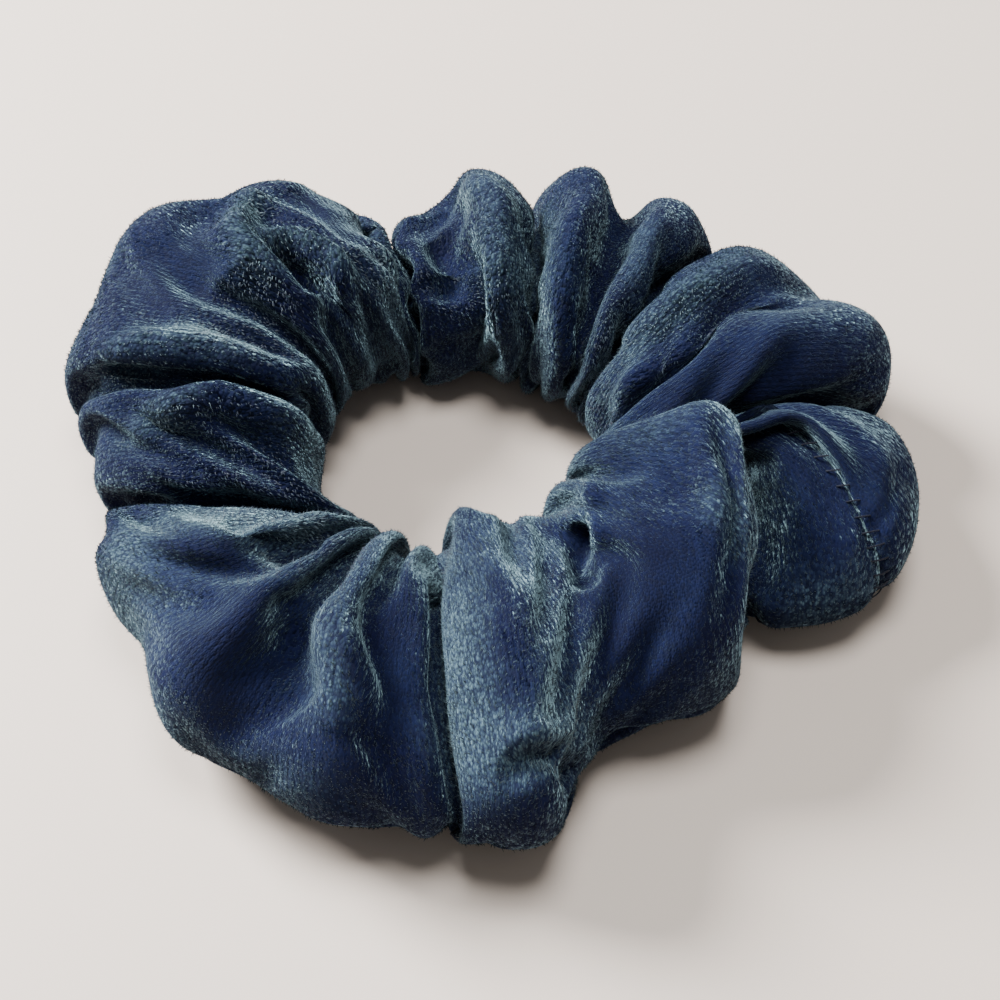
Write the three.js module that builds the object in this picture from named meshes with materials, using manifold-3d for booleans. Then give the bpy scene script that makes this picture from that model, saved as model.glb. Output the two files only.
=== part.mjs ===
// A gathered velvet scrunchie lying flat: a tube of cloth, sewn from one strip, threaded on a loop of elastic.
// Millimetres, +Z up. The origin is the middle of the base, and the scrunchie is stretched along +X.
import * as THREE from "three";
import Module from "manifold-3d";
import { mergeVertices } from "three/addons/utils/BufferGeometryUtils.js";

const wasm = await Module();
wasm.setup();

// Cloth
const CLOTH = 1.4; // thickness of the velvet, pile and folds included
const GAP = 0.35; // clearance between pieces that touch on the real object
const SECTION_POINTS = 16; // points round the tube
const STEPS_PER_GATHER = 2; // rings of points between two gathers
const FOOT = -0.9; // the tube is flat on the table where the sine of its section angle is below this

// Seams
const SEAM_ANGLE = THREE.MathUtils.degToRad(-15); // the long seam lies low on the tube's outer side
const SEAM_ALLOWANCE = 5; // depth of the long seam's two raw edges, turned inwards
const SEAM_EDGES = 1.8; // thickness of the two edges pressed together
const SEAM_ROOT = 2.6; // depth below the tube's outer face where they start
const CLOSING_ANGLE = THREE.MathUtils.degToRad(-15); // where the tube's two ends meet, round the ring
const CLOSING_ALLOWANCE = 3; // depth of the turned-in ends
const THREAD = 0.5; // sewing thread, as a square section
const STITCH_SWAY = 0.35; // how far a stitch swings to each side of its seam line

// Elastic
const ELASTIC_RADIUS = 28; // radius of the relaxed loop
const ELASTIC_WIDTH = 6;
const ELASTIC_THICKNESS = 0.9;
const ELASTIC_HEIGHT = 10.5; // height of its middle above the table
const LAP_START = 150; // degrees round the ring
const LAP_LENGTH = 25; // degrees that the sewn ends overlap
const LAP_RAMP = 10; // degrees over which the upper end steps over the lower
const BARTACK_LEGS = 9;

// Gathers round the ring, anticlockwise. Each row is an angle about the hole's centre, then the radius of the
// tube's outer edge, the radius of its inner edge and its height there. Rows go from fold to puff to fold.
const GATHERS = [
  [-87, 51, 17.5, 19], [-79, 55.5, 15, 25], [-68, 46.5, 15.5, 22], [-57, 47.8, 16, 24],
  [-45, 48, 17, 25], [-33, 41.5, 18, 19], [-24, 57.5, 18, 20], [-11, 62, 18, 23],
  [-1, 59.5, 18, 22], [7.5, 54, 18, 18], [17, 62, 18, 23], [29, 57, 18, 25],
  [42, 50, 18, 19], [52, 52.5, 18.5, 24], [60, 49.5, 18.5, 20], [67, 51.5, 18.5, 25],
  [78, 43, 18, 18], [87, 46, 17.5, 26], [95, 43.5, 17, 24], [104, 37, 18, 17],
  [112, 43.5, 18.5, 22], [118, 43.5, 18, 22], [132, 54.5, 18, 29], [146, 57.5, 18, 27],
  [158, 56, 18, 24], [173, 51.5, 18, 23], [190, 43.5, 17.5, 18], [205, 48, 17, 26],
  [222, 48.5, 17, 24], [234, 54.5, 17, 23], [250, 53, 17, 23], [264, 53.5, 17, 22],
];
const TOP_FOLD = 16; // the row of the deep fold where the two halves meet at the back
const SPLIT = 0.4; // degrees left open between the halves at each of the two folds

// The tube's size at a place round the ring, counted in gathers: {angle, outer, inner, height}.
function gatherAt(place) {
  const rows = [-1, 0, 1, 2].map((step) => {
    const index = Math.floor(place) + step;
    const lap = Math.floor(index / GATHERS.length);
    const [angle, ...sizes] = GATHERS[index - lap * GATHERS.length];
    return [angle + 360 * lap, ...sizes];
  });
  const share = place - Math.floor(place);
  const curve = new THREE.SplineCurve();
  const value = (column) => {
    curve.points = rows.map((row, i) => new THREE.Vector2(i, row[column]));
    return curve.getPoint((1 + share) / 3).y;
  };
  return {
    angle: THREE.MathUtils.degToRad(value(0)),
    outer: value(1),
    inner: value(2),
    height: value(3),
  };
}

// The same, at an angle round the ring in radians.
function gatherAtAngle(angle) {
  let low = 0;
  let high = GATHERS.length;
  for (let i = 0; i < 40; i++) {
    const middle = (low + high) / 2;
    if (gatherAt(middle).angle < angle) low = middle;
    else high = middle;
  }
  return { ...gatherAt(low), angle };
}

// A point of the tube's cross-section, inset from its outer face.
function onSection(gather, alpha, inset) {
  const halfWidth = (gather.outer - gather.inner) / 2 - inset;
  const radius = (gather.outer + gather.inner) / 2 + halfWidth * Math.cos(alpha);
  const rise = Math.sin(alpha) < FOOT ? -1 : Math.sin(alpha);
  return { radius, z: gather.height / 2 + (gather.height / 2 - inset) * rise };
}

function onRing(angle, radius, z) {
  return new THREE.Vector3(radius * Math.cos(angle), radius * Math.sin(angle), z);
}

function sectionLoop(gather, inset) {
  return Array.from({ length: SECTION_POINTS }, (_, k) => {
    const { radius, z } = onSection(gather, (2 * Math.PI * k) / SECTION_POINTS, inset);
    return onRing(gather.angle, radius, z);
  });
}

// Gathers sampled along one half of the ring, from one fold to another.
function halfRing(firstRow, lastRow) {
  const steps = (lastRow - firstRow) * STEPS_PER_GATHER;
  const half = THREE.MathUtils.degToRad(SPLIT / 2);
  return Array.from({ length: steps + 1 }, (_, i) => {
    const gather = gatherAt(firstRow + i / STEPS_PER_GATHER);
    if (i === 0) gather.angle += half;
    if (i === steps) gather.angle -= half;
    return gather;
  });
}

function geometryOf(points, triangles) {
  const positions = points.flatMap((p) => [p.x, p.y, p.z]);
  const geometry = new THREE.BufferGeometry();
  geometry.setAttribute("position", new THREE.Float32BufferAttribute(positions, 3));
  geometry.setIndex(triangles.flat());
  geometry.computeVertexNormals();
  return geometry;
}

// Faces between two neighbouring loops of a skin. Loops run anticlockwise seen from the skin's start.
function band(first, second, count, outward) {
  const faces = [];
  for (let k = 0; k < count; k++) {
    const next = (k + 1) % count;
    const quad = [first + k, second + k, second + next, first + next];
    if (!outward) quad.reverse();
    faces.push([quad[0], quad[1], quad[2]], [quad[0], quad[2], quad[3]]);
  }
  return faces;
}

// A solid skinned over a row of convex loops, with a flat end at each end.
function skin(loops) {
  const count = loops[0].length;
  const last = (loops.length - 1) * count;
  const faces = loops.slice(1).flatMap((_, i) => band(i * count, (i + 1) * count, count, true));
  for (let k = 1; k < count - 1; k++) {
    faces.push([0, k, k + 1], [last, last + k + 1, last + k]);
  }
  return geometryOf(loops.flat(), faces);
}

// A tube wall between outer loops and inner loops, open at both ends.
function wall(outerLoops, innerLoops) {
  const count = outerLoops[0].length;
  const inside = outerLoops.length * count;
  const last = (outerLoops.length - 1) * count;
  const faces = outerLoops.slice(1).flatMap((_, i) => [
    ...band(i * count, (i + 1) * count, count, true),
    ...band(inside + i * count, inside + (i + 1) * count, count, false),
  ]);
  faces.push(...band(inside, 0, count, true), ...band(last, inside + last, count, true));
  return geometryOf([...outerLoops.flat(), ...innerLoops.flat()], faces);
}

// A square thread through points given as {angle, radius, z} about the ring.
function threadAlong(path) {
  const half = THREAD / 2;
  const corners = [[half, -half], [half, half], [-half, half], [-half, -half]];
  return skin(
    path.map((p) => corners.map(([out, up]) => onRing(p.angle, p.radius + out, p.z + up))),
  );
}

function toManifold(geometry) {
  const bare = new THREE.BufferGeometry();
  bare.setAttribute("position", geometry.getAttribute("position"));
  bare.setIndex(geometry.index);
  const merged = mergeVertices(bare, 1e-4);
  const mesh = new wasm.Mesh({
    numProp: 3,
    vertProperties: merged.attributes.position.array,
    triVerts: new Uint32Array(merged.index.array),
  });
  return new wasm.Manifold(mesh);
}

function fromManifold(solid) {
  const { numProp, vertProperties, triVerts } = solid.getMesh();
  const geometry = new THREE.BufferGeometry();
  const positions = Array.from(vertProperties).filter((_, i) => i % numProp < 3);
  geometry.setAttribute("position", new THREE.Float32BufferAttribute(positions, 3));
  geometry.setIndex(Array.from(triVerts));
  geometry.computeVertexNormals();
  return geometry;
}

function sleeve(gathers) {
  return wall(
    gathers.map((gather) => sectionLoop(gather, 0)),
    gathers.map((gather) => sectionLoop(gather, CLOTH)),
  );
}

// The long seam's two raw edges, pressed together and turned into the tube. A notch for them is cut with
// clearance all round, and headroom above for the stitches.
function seamAllowance(gathers, clearance = 0, headroom = 0) {
  return skin(
    gathers.map((gather) => {
      const root = onSection(gather, SEAM_ANGLE, SEAM_ROOT - clearance);
      const tip = root.radius - SEAM_ALLOWANCE - 2 * clearance;
      const low = root.z - SEAM_EDGES / 2 - clearance;
      const high = root.z + SEAM_EDGES / 2 + clearance + headroom;
      return [[root.radius, low], [root.radius, high], [tip, high], [tip, low]].map(
        ([radius, z]) => onRing(gather.angle, radius, z),
      );
    }),
  );
}

// Lockstitches along the seam line, on the allowance's upper face.
function longSeamThread(gathers) {
  const path = gathers.map((gather, i) => {
    const root = onSection(gather, SEAM_ANGLE, SEAM_ROOT);
    const sway = i % 2 ? STITCH_SWAY : -STITCH_SWAY;
    return {
      angle: gather.angle,
      radius: root.radius - SEAM_ALLOWANCE / 2 + sway,
      z: root.z + SEAM_EDGES / 2 + GAP + THREAD / 2,
    };
  });
  return threadAlong(path);
}

// Where the tube's two ends are joined: both are turned inwards and lie face to face.
function closingAllowance(gathers) {
  const turn = CLOTH / ELASTIC_RADIUS;
  const ends = [-turn, turn].map((offset) => gatherAtAngle(CLOSING_ANGLE + offset));
  const flange = wall(
    ends.map((gather) => sectionLoop(gather, CLOTH + GAP)),
    ends.map((gather) => sectionLoop(gather, CLOTH + GAP + CLOSING_ALLOWANCE)),
  );
  const notch = seamAllowance(gathers, GAP, GAP + THREAD);
  return fromManifold(toManifold(flange).subtract(toManifold(notch)));
}

// Stitches on the closing allowance's face, all round the tube but for the long seam.
function closingThread() {
  const stitches = 24;
  const room = THREE.MathUtils.degToRad(30); // kept clear of the long seam, at each end
  const face = gatherAtAngle(CLOSING_ANGLE + CLOTH / ELASTIC_RADIUS);
  const path = Array.from({ length: stitches + 1 }, (_, i) => {
    const alpha = SEAM_ANGLE + room + ((2 * Math.PI - 2 * room) * i) / stitches;
    const sway = i % 2 ? STITCH_SWAY : -STITCH_SWAY;
    const outside = onSection(face, alpha, CLOTH + GAP + CLOSING_ALLOWANCE / 2 + sway);
    return { alpha, ...outside };
  });
  const half = THREAD / 2;
  return skin(
    path.map(({ alpha, radius, z }) => {
      const near = face.angle + GAP / radius;
      const far = near + THREAD / radius;
      const out = [Math.cos(alpha) * half, Math.sin(alpha) * half];
      return [
        onRing(far, radius - out[0], z - out[1]),
        onRing(far, radius + out[0], z + out[1]),
        onRing(near, radius + out[0], z + out[1]),
        onRing(near, radius - out[0], z - out[1]),
      ];
    }),
  );
}

// One flat band whose ends lie one over the other, to be sewn.
function elasticBand() {
  const step = 5; // degrees
  const turns = 360 + LAP_LENGTH;
  const rise = ELASTIC_THICKNESS + GAP;
  const loops = [];
  for (let along = 0; along <= turns; along += step) {
    const over = THREE.MathUtils.smoothstep(along, 360 - LAP_RAMP, 360);
    const middle = ELASTIC_RADIUS + rise * over;
    const angle = THREE.MathUtils.degToRad(LAP_START + along);
    const inner = middle - ELASTIC_THICKNESS / 2;
    const outer = middle + ELASTIC_THICKNESS / 2;
    const low = ELASTIC_HEIGHT - ELASTIC_WIDTH / 2;
    const high = ELASTIC_HEIGHT + ELASTIC_WIDTH / 2;
    loops.push(
      [[outer, low], [outer, high], [inner, high], [inner, low]].map(([radius, z]) =>
        onRing(angle, radius, z),
      ),
    );
  }
  return skin(loops);
}

// The zigzag that locks the elastic's lap.
function elasticLapStitches() {
  const outside = ELASTIC_RADIUS + 1.5 * ELASTIC_THICKNESS + 2 * GAP + THREAD / 2;
  const margin = 5; // degrees left at each end of the lap
  const path = Array.from({ length: BARTACK_LEGS + 1 }, (_, i) => {
    const along = margin + ((LAP_LENGTH - 2 * margin) * i) / BARTACK_LEGS;
    return {
      angle: THREE.MathUtils.degToRad(LAP_START + along),
      radius: outside,
      z: ELASTIC_HEIGHT + (i % 2 ? 1 : -1) * (ELASTIC_WIDTH / 2 - 1),
    };
  });
  return threadAlong(path);
}

const velvet = new THREE.MeshStandardMaterial({ color: 0x1c2c52, roughness: 0.95 });
const backing = new THREE.MeshStandardMaterial({ color: 0x16223f, roughness: 1 });
const thread = new THREE.MeshStandardMaterial({ color: 0x141b33, roughness: 0.7 });
const elastic = new THREE.MeshStandardMaterial({ color: 0x17181c, roughness: 0.85 });

const scrunchie = new THREE.Group();
function add(name, geometry, material) {
  const mesh = new THREE.Mesh(geometry, material);
  mesh.name = name;
  scrunchie.add(mesh);
}

const right = halfRing(0, TOP_FOLD);
const left = halfRing(TOP_FOLD, GATHERS.length);
for (const [side, gathers] of [["left", left], ["right", right]]) {
  add(`velvet_sleeve_${side}`, sleeve(gathers), velvet);
  add(`long_seam_allowance_${side}`, seamAllowance(gathers), backing);
  add(`long_seam_thread_${side}`, longSeamThread(gathers), thread);
}
add("closing_seam_allowance", closingAllowance(right), backing);
add("closing_seam_thread", closingThread(), thread);
add("elastic_band", elasticBand(), elastic);
add("elastic_lap_stitches", elasticLapStitches(), thread);

// The gathers are placed about the hole, and the hole is off centre: move the middle of the base to the origin.
const middle = new THREE.Box3().setFromObject(scrunchie).getCenter(new THREE.Vector3());
scrunchie.position.set(-middle.x, -middle.y, 0);

export default scrunchie;
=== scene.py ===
import math
import bpy
import numpy as np
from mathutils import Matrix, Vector


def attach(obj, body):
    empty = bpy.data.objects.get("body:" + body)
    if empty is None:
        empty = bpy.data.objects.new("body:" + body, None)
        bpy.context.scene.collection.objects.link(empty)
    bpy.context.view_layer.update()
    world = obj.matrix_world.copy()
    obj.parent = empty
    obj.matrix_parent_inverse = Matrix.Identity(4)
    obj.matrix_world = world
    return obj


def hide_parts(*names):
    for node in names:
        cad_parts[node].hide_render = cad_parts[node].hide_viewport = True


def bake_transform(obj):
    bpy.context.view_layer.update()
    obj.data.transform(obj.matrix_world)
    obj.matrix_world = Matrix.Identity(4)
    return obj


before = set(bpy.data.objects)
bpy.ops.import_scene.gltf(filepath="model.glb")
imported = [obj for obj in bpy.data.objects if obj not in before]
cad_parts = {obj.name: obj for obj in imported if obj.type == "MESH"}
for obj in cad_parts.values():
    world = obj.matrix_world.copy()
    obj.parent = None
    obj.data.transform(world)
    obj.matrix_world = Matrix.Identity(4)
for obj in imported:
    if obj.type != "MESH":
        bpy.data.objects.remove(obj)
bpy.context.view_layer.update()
MM = 0.001                       # metres
rng = np.random.default_rng(7)

# ---------------------------------------------------------------- driving dimensions, in millimetres
HOLE = np.array([-4.36, 3.54])   # middle of the hair hole

CLOTH_WIDTH = 90.0               # round the tube
CLOTH_GAP = 1.25                 # least distance between two layers of velvet
MIDDLE = 0.45                    # height of the tube's widest place, as a share of its top's
RING_STEPS = 384                 # cells of the cloth along the ring
TUBE_STEPS = 72                  # cells of the cloth round the tube
SETTLING = 120                   # steps of settling

SEAM_V = 0.955                   # where the long seam is round the tube: low on the outer side
CLOSING_ANGLE = -20.0            # where the closing seam reaches the outer edge, in degrees
SEAM_DEPTH, SEAM_WIDTH = 0.9, 1.0  # of the groove that each seam draws into the cloth
ALLOWANCE, ALLOWANCE_STEPS = 2.0, 2  # raw edges turned in at the seams
CLOSING_THREAD, LONG_THREAD, LAP_THREAD = 0.11, 0.15, 0.14  # radii of the sewing threads

RIB_PITCH = 0.68                 # ribs of the velvet's knit
TUFT_LENGTH = 1.35               # a tuft's share of its rib
TUFTS = 195000                   # loose tufts modelled one by one
BRUSHING = [(rng.integers(3, 14), rng.integers(-3, 4), rng.uniform(0, 6.28)) for _ in range(10)]
# Pale teal-grey colours painted into the pile and the tufts as painted sheen.
PAINTED_SHEEN_PILE = (0.055, 0.092, 0.115, 1)
PAINTED_SHEEN_TUFT = (0.16, 0.23, 0.25, 1)

ELASTIC_RADIUS, ELASTIC_HEIGHT = 28.0, 10.5
ELASTIC_WIDTH, ELASTIC_THICKNESS = 6.0, 0.9
LAP_START, LAP_LENGTH = 150, 26  # degrees round the ring
LAP_LEGS = 14                    # of the zigzag that holds the lap

CAMERA_ELEVATION = math.radians(55)
CAMERA_DISTANCE = 0.260
CAMERA_TARGET = Vector((0.00164, -0.00346, 0.010))
FIELD_WIDTH = 0.131              # metres across the picture, at the target

# ---------------------------------------------------------------- the folds, anticlockwise from the front
# Angles are about the middle of the hole, in degrees. A fold is a line across the tube: it is given where it
# reaches the outer edge (angle, radius), at the top (angle, radius, height) and at the inner edge (angle, radius,
# and height where that isn't 0.45 of the top's).
RIDGE, VALLEY, DIP = "ridge", "valley", "dip"
FOLDS = [
    # name                kind    outer edge      top                inner edge
    ("front_cleft",       VALLEY, (-89, 52.0),    (-93, 33, 15),     (-95, 19.0)),
    ("front_face",        RIDGE,  (-80, 57.5),    (-79, 35, 26.5),   (-85, 14.5, 17)),
    ("front_pit",         DIP,    (-66, 45.0),    (-59, 34, 22),     (-54, 17.5, 14)),
    ("front_dome",        RIDGE,  (-47, 49.5),    (-40, 36, 27),     (-38, 17.5, 16)),
    ("dome_rim",          RIDGE,  (-36, 44.0),    (-6, 33, 28),      (-26, 17.0, 17)),
    ("under_rim",         VALLEY, (-32, 41.0),    (-4, 34, 13),      (-22, 20.0)),
    ("right_lobe",        RIDGE,  (-10, 61.6),    (-3, 42, 22),      (-22, 20.0)),
    ("right_cleft",       VALLEY, (7.4, 53.5),    (3, 36, 14),       (-18, 20.0)),
    ("flat_face_edge",    RIDGE,  (17, 61.7),     (14, 41, 24),      (-8, 18.5)),
    ("flat_face_back",    DIP,    (26, 57.0),     (21, 39, 21),      (3, 19.5)),
    ("right_back",        RIDGE,  (33, 54.5),     (28, 38, 23.5),    (14, 19.5)),
    ("right_back_cleft",  VALLEY, (42, 48.5),     (41, 36, 13),      (28, 21.0)),
    ("back_lobe_right",   RIDGE,  (54, 52.5),     (45, 36, 23.5),    (31, 19.5)),
    ("back_dip",          DIP,    (60, 48.7),     (52, 33, 17),      (38, 20.5)),
    ("back_lobe_left",    RIDGE,  (68, 52.0),     (60, 30, 24),      (45, 18.0)),
    ("back_cleft",        VALLEY, (77, 43.0),     (69, 29, 11),      (58, 20.0)),
    ("top_lip",           RIDGE,  (87, 46.5),     (82, 32, 24.5),    (66, 17.5)),
    ("top_fold",          DIP,    (96, 42.5),     (93, 27, 19),      (80, 18.5)),
    ("top_left_lip",      RIDGE,  (100.5, 40.0),  (100, 28, 20.5),   (97, 17.5)),
    ("small_cleft",       VALLEY, (104.5, 37.0),  (105, 28, 12),     (104, 20.0)),
    ("small_lobe",        RIDGE,  (110.5, 43.5),  (109, 32, 17.5),   (107, 20.5)),
    ("curl_cleft",        VALLEY, (115, 42.5),    (112, 32, 13),     (110, 20.5)),
    ("curl_lobe",         RIDGE,  (121, 49.0),    (118, 31, 26),     (118, 18.0)),
    ("curl_dip",          DIP,    (131, 54.5),    (133, 33, 25.5),   (133, 19.5)),
    ("big_dome",          RIDGE,  (143, 57.5),    (147, 38, 28),     (147, 18.0)),
    ("left_dip",          DIP,    (157, 55.0),    (159, 36, 24.5),   (154, 19.0)),
    ("left_ridge",        RIDGE,  (165, 54.0),    (166, 36, 25.5),   (159, 18.0)),
    ("left_valley",       VALLEY, (171, 50.5),    (174, 34, 18),     (170, 19.5)),
    ("left_lower_ridge",  RIDGE,  (177, 49.5),    (183, 31, 23),     (188, 18.0)),
    ("left_tail_dip",     DIP,    (181, 47.5),    (191, 30, 19),     (205, 19.0)),
    ("left_tail",         RIDGE,  (185, 46.5),    (197, 29, 20.5),   (218, 17.0)),
    ("left_cleft",        VALLEY, (190.5, 43.0),  (203, 29, 12),     (228, 18.5)),
    ("lower_rim",         RIDGE,  (206, 48.5),    (219, 38, 25.5),   (236, 18.0)),
    ("lower_pocket",      DIP,    (217, 48.5),    (227, 37, 23.5),   (238, 19.0)),
    ("lower_dome",        RIDGE,  (231, 53.5),    (236, 38, 25.5),   (241, 18.5)),
    ("lower_dip",         DIP,    (241, 53.0),    (243, 34, 21.5),   (244, 20.0)),
    ("lower_ridge",       RIDGE,  (257, 55.0),    (251, 36, 26.5),   (249, 18.0)),
    ("lower_groove",      DIP,    (264, 54.0),    (258, 33, 22),     (256, 19.5)),
    ("lower_edge",        RIDGE,  (268, 54.0),    (262, 31, 23),     (259, 18.0)),
]

# Smaller creases on the settled cloth: a line in plan (angle, radius), how far it stands out (+) or in (-) and its
# half-width, in millimetres.
CREASES = [
    ("curl_ridge",      [(126, 47), (135, 41), (141, 38), (144, 33), (143, 26), (140, 22)],  2.8, 2.4),
    ("curl_arc",        [(139, 36), (131, 33), (126, 28), (130, 23), (139, 22)],             2.4, 2.0),
    ("curl_pit",        [(138, 33), (138, 28), (139, 24)],                                  -3.6, 2.0),
    ("curl_shadow",     [(134, 49), (146, 43), (152, 35)],                                  -2.0, 3.6),
    ("lobe_hollow",     [(122, 43), (120, 35), (118, 27)],                                  -2.4, 2.8),
    ("lobe_edge",       [(113, 46), (110, 34), (110, 26), (118, 20)],                        1.3, 1.9),
    ("left_crest",      [(171, 48), (169, 40), (168, 33), (169, 24), (157, 18)],             2.2, 2.2),
    ("left_low_crest",  [(182, 42), (182, 35), (180, 30), (183, 24), (181, 18)],             2.2, 2.2),
    ("pocket",          [(215, 34), (224, 33), (231, 31), (235, 27)],                       -1.6, 1.6),
    ("lower_crest",     [(243, 34), (250, 40), (256, 44), (258, 49)],                        2.0, 3.0),
    ("lower_crest_low", [(239, 35), (245, 43), (249, 48)],                                  -2.2, 2.6),
    ("front_slot",      [(-84, 53), (-76, 52), (-67, 49)],                                  -2.4, 1.4),
    ("front_hem",       [(-84, 50), (-75, 50), (-66, 48)],                                   1.0, 1.4),
    ("front_pit",       [(-50, 24), (-56, 28), (-60, 33)],                                  -3.2, 1.4),
    ("front_pit_edge",  [(-40, 22), (-48, 26), (-54, 31)],                                   1.3, 1.4),
    ("dome_side_crest", [(-24, 34), (-32, 39), (-34, 43)],                                   0.9, 2.6),
    ("lobe_crease",     [(-6, 59), (-14, 57), (-23, 55)],                                   -1.2, 1.8),
    ("top_fold",        [(99, 33), (94, 28), (91, 24), (96, 20)],                           -1.8, 2.0),
    ("top_edge",        [(88, 40), (80, 33), (72, 20), (64, 17)],                            1.8, 2.2),
    ("back_crest",      [(64, 41), (56, 27), (47, 20), (36, 19)],                            1.4, 2.0),
    ("flat_face_edge",  [(24, 51), (19, 38), (14, 27), (11, 21)],                            1.8, 1.8),
    ("flat_face_back",  [(30, 51), (30, 41), (29, 31), (28, 25)],                            1.2, 2.4),
]

# Patches of painted sheen (+), where the pile's colour is painted pale, and of painted shade (-), where it is
# painted nearly black; the same patches brush the pile up or down, tilting its shading and standing its tufts up or
# laying them down: a line in plan (angle, radius), how much and its half-width in millimetres.
BRUSHED_AND_PAINTED_SHEEN = [
    ("front_face",      [(-89, 22), (-89, 34), (-87, 46), (-82, 57)],            1.10, 5.0),
    ("front_hem",       [(-82, 54), (-72, 48), (-62, 47)],                       0.60, 3.5),
    ("lower_rim",       [(204, 46), (212, 37), (225, 31), (235, 24)],            0.90, 3.5),
    ("lower_left",      [(204, 47), (212, 48), (220, 50)],                       0.90, 4.5),
    ("lower_hem",       [(216, 50), (228, 54), (241, 54), (256, 55)],            0.80, 2.2),
    ("lower_ridge",     [(244, 34), (251, 42), (255, 50)],                       0.80, 3.0),
    ("left_crest",      [(171, 50), (169, 40), (168, 33), (169, 24)],            0.85, 2.6),
    ("left_low_crest",  [(184, 46), (182, 35), (180, 30)],                       0.80, 2.6),
    ("big_dome_edge",   [(172, 53), (160, 55), (148, 57), (134, 54)],            0.70, 3.5),
    ("curl_ridge",      [(126, 47), (135, 41), (141, 38), (144, 33), (143, 26)], 1.20, 2.8),
    ("curl_arc",        [(139, 36), (131, 33), (126, 28), (130, 23)],            1.20, 2.1),
    ("lobe_edge",       [(113, 46), (110, 34), (110, 26), (118, 20)],            0.70, 2.0),
    ("top_lip",         [(90, 45), (84, 37), (76, 24), (66, 18)],                0.80, 3.0),
    ("back_left",       [(73, 43), (69, 30), (62, 20)],                          0.70, 3.0),
    ("back_right",      [(50, 46), (42, 32), (34, 22)],                          0.50, 2.6),
    ("right_back",      [(38, 52), (31, 42), (26, 30), (19, 22)],                0.90, 3.5),
    ("dome_rim",        [(-28, 20), (-20, 26), (-6, 33), (-14, 38), (-31, 42)],  0.55, 2.2),
    ("dome_side",       [(-28, 35), (-33, 41), (-36, 46)],                       0.80, 3.5),
    ("dome_inner",      [(-36, 19), (-42, 23)],                                  0.50, 4.0),
    ("lobe_hem",        [(-30, 47), (-26, 54), (-17, 60)],                       0.60, 3.2),
    ("flat_face",       [(9, 54), (5, 38), (-8, 24)],                           -0.90, 6.0),
    ("dome",            [(-40, 34), (-52, 38), (-64, 36)],                      -0.90, 7.5),
    ("lower_flank",     [(226, 43), (234, 46), (243, 47)],                      -0.95, 6.0),
    ("lower_groove",    [(263, 24), (262, 48)],                                 -0.80, 3.5),
    ("big_dome",        [(162, 44), (150, 42), (148, 34)],                      -0.90, 6.0),
    ("lobe_hollow",     [(122, 43), (120, 35), (118, 27)],                      -1.00, 3.2),
    ("right_lobe",      [(-4, 52), (-14, 48)],                                  -0.80, 7.0),
    ("top",             [(98, 36), (92, 24)],                                   -0.50, 3.5),
]

# ---------------------------------------------------------------- the gathered cloth
def fold_values(fold):
    """A fold as a row: outer angle, radius; top angle, radius, height; inner angle, radius, height."""
    _, _, outer, top, inner = fold
    low = inner[2:] or (MIDDLE * top[2],)
    return np.array([*outer, *top, *inner[:2], *low], float)


def along_folds(steps_per_fold=48):
    """Folds sampled all along the cloth. Ridges are round and valleys sharp, as in gathered cloth."""
    turn = np.array([360, 0, 360, 0, 0, 360, 0, 0], float)
    rows = []
    share = (np.arange(steps_per_fold) + 0.5) / steps_per_fold
    for i, fold in enumerate(FOLDS):
        after = FOLDS[(i + 1) % len(FOLDS)]
        start = fold_values(fold)
        end = fold_values(after) + (turn if i == len(FOLDS) - 1 else 0)
        quarter = share * math.pi / 2
        if VALLEY not in (fold[1], after[1]):
            around, across = share, share * share * (3 - 2 * share)
        elif fold[1] == VALLEY:
            around, across = 0.15 * share + 0.85 * (1 - np.cos(quarter)), np.sin(quarter)
        else:
            around, across = 0.15 * share + 0.85 * np.sin(quarter), 1 - np.cos(quarter)
        mix = np.where(turn > 0, around[:, None], across[:, None])
        rows.append(start + (end - start) * mix)
    return np.concatenate(rows)


def section(rows, v):
    """Points of the tube for fold rows (n x 8) at places v round it: 0 outer edge, 0.25 top, 0.5 inner edge."""
    outer_angle, outer_radius, top_angle, top_radius, height, inner_angle, inner_radius, low = rows.T[:, :, None]
    alpha = 2 * math.pi * v[None, :]
    cos, sin = np.cos(alpha), np.sin(alpha)
    edge = np.abs(cos) ** 1.15
    full = np.sign(sin) * np.abs(sin) ** 0.85
    outward = cos > 0
    angle = np.where(outward, outer_angle - top_angle, inner_angle - top_angle) * edge + top_angle
    radius = np.where(outward, outer_radius - top_radius, top_radius - inner_radius) * cos + top_radius
    middle = np.where(outward, MIDDLE * height, MIDDLE * height + (low - MIDDLE * height) * np.abs(cos))
    z = np.where(sin > 0, middle + (height - middle) * full, middle * (1 + full))
    angle = np.radians(angle)
    return np.stack([radius * np.cos(angle), radius * np.sin(angle), z], axis=-1)


def gathered_tube():
    """The cloth before it settles: a grid of RING_STEPS x TUBE_STEPS points, evenly spread along the cloth."""
    rows = along_folds()
    guide = section(rows, np.array([0.0, 0.12, 0.25, 0.38]))
    step = np.linalg.norm(np.roll(guide, -1, axis=0) - guide, axis=-1).mean(axis=1)
    travelled = np.concatenate([[0], np.cumsum(step)])
    wanted = np.linspace(0, travelled[-1], RING_STEPS, endpoint=False)
    closed = np.concatenate([rows, rows[:1] + np.array([360, 0, 360, 0, 0, 360, 0, 0])])
    even = np.stack([np.interp(wanted, travelled, closed[:, c]) for c in range(closed.shape[1])], axis=1)
    fine = section(even, np.linspace(0, 1, 4 * TUBE_STEPS, endpoint=False))
    out = np.empty((RING_STEPS, TUBE_STEPS, 3))
    for i, loop in enumerate(fine):
        ring = np.concatenate([loop, loop[:1]])
        length = np.concatenate([[0], np.cumsum(np.linalg.norm(np.diff(ring, axis=0), axis=1))])
        at = np.linspace(0, length[-1], TUBE_STEPS, endpoint=False)
        for c in range(3):
            out[i, :, c] = np.interp(at, length, ring[:, c])
    return out, travelled[-1]


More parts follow.
